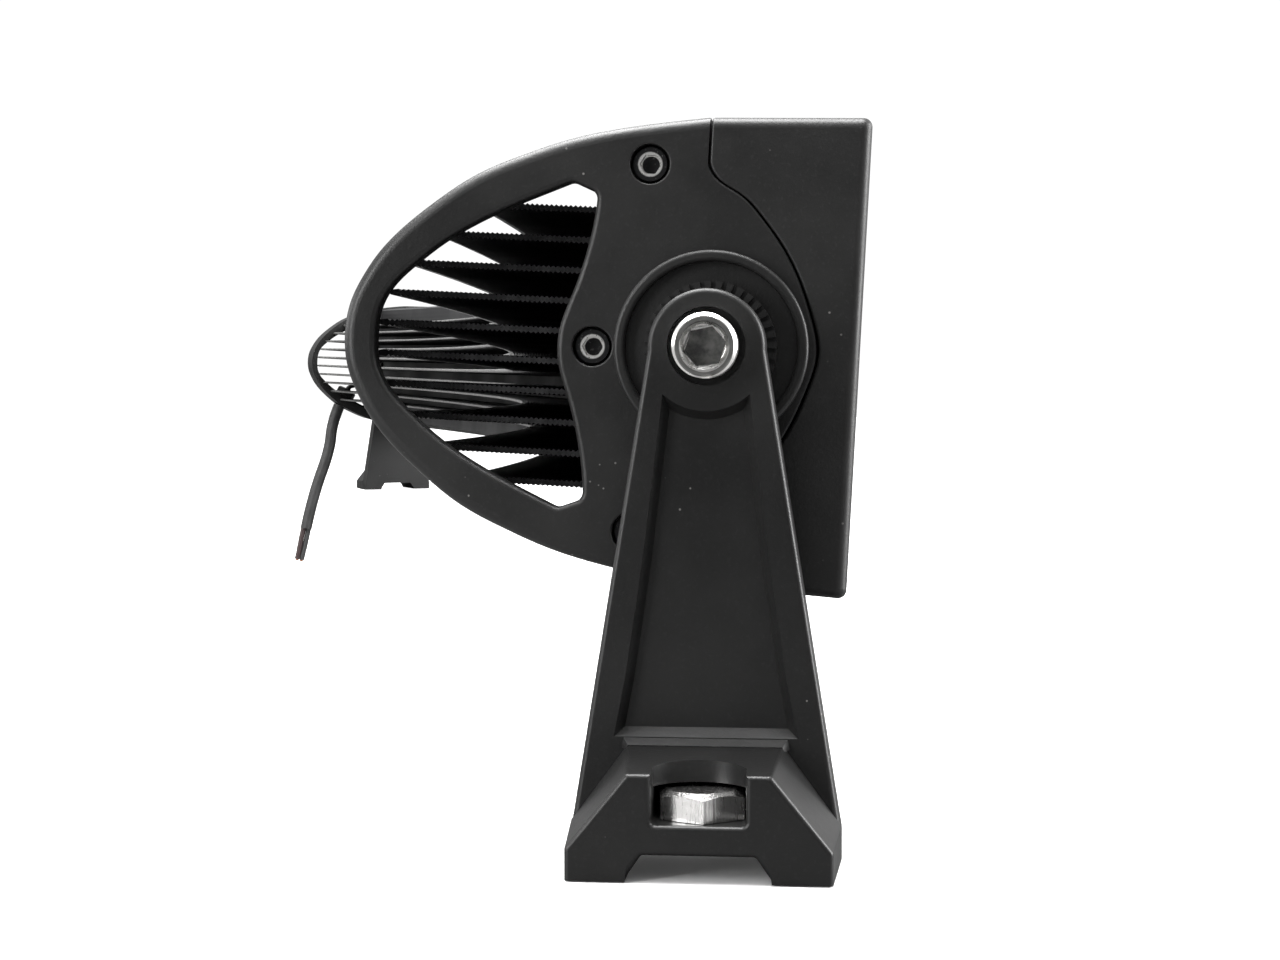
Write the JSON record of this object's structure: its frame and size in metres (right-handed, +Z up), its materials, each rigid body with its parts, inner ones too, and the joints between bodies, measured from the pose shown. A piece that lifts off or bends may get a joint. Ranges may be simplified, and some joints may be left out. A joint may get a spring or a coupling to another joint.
{
  "type": "led light bar",
  "caption": "Bowed LED light bar with finned aluminium housing, vented end frames, tilting end brackets with slotted-pocket bolt feet, and a short power lead.",
  "frame": {"origin": "midpoint between the two foot bolts, on the plane that the feet are bolted to", "axes": "+X along the chord of the bow towards the end with the power lead, light shines towards -Y, +Z up from the mounting plane"},
  "size_m": [1.142, 0.1642, 0.1658],
  "materials": {
    "housing": "black satin powder coat on extruded aluminium",
    "castings": "black fine-texture powder coat on die-cast aluminium",
    "plate": "bare sheet, satin",
    "black_screws": "black oxide, polished rim",
    "stainless": "bright stainless",
    "zinc_bolt": "bright zinc plate",
    "lens": "clear polycarbonate sheet, polished",
    "seals": "matt silicone",
    "thermal_pad": "matt grey silicone pad",
    "circuit_board": "white solder mask",
    "led": "phosphor dome",
    "reflector": "vacuum-metallised mirror",
    "black_nylon": "moulded nylon",
    "core_sheath": "smooth insulated wire",
    "cable_sheath": "satin rubber jacket"
  },
  "bodies": {
    "lamp": {"heat_sink": "housing", "bezel": "housing", "left_end_frame": "castings", "right_end_frame": "castings", "left_front_cover": "castings", "right_front_cover": "castings", "left_end_plate": "plate", "right_end_plate": "plate", "bezel_screws": "black_screws", "left_end_screws": "black_screws", "right_end_screws": "black_screws", "left_cover_screws": "black_screws", "right_cover_screws": "black_screws", "left_pivot_bolt": "stainless", "right_pivot_bolt": "stainless", "left_pivot_washer": "stainless", "right_pivot_washer": "stainless", "lens": "lens", "lens_gasket": "seals", "left_end_gasket": "seals", "right_end_gasket": "seals", "lead_grommet": "seals", "gland_seal": "seals", "thermal_pad": "thermal_pad", "led_board": "circuit_board", "driver_board": "circuit_board", "led_emitters": "led", "reflectors": "reflector", "breather_vent": "black_nylon", "cable_gland": "black_nylon", "inner_leads": "core_sheath", "internal_leads": "core_sheath", "cable_cores": "core_sheath", "power_cable": "cable_sheath"},
    "left_bracket_body": {"left_bracket": "castings", "left_foot_bolt": "zinc_bolt"},
    "right_bracket_body": {"right_bracket": "castings", "right_foot_bolt": "zinc_bolt"}
  },
  "joints": [
    {"name": "left_bracket_pivot", "type": "hinge", "parent": "lamp", "child": "left_bracket_body", "pos_m": [-0.535, -0.00588, 0.082], "axis": [-0.9681, 0.25, 0.0131], "continuous": true},
    {"name": "right_bracket_pivot", "type": "hinge", "parent": "lamp", "child": "right_bracket_body", "pos_m": [0.535, -0.00588, 0.082], "axis": [0.9681, 0.25, 0.0131], "continuous": true}
  ]
}
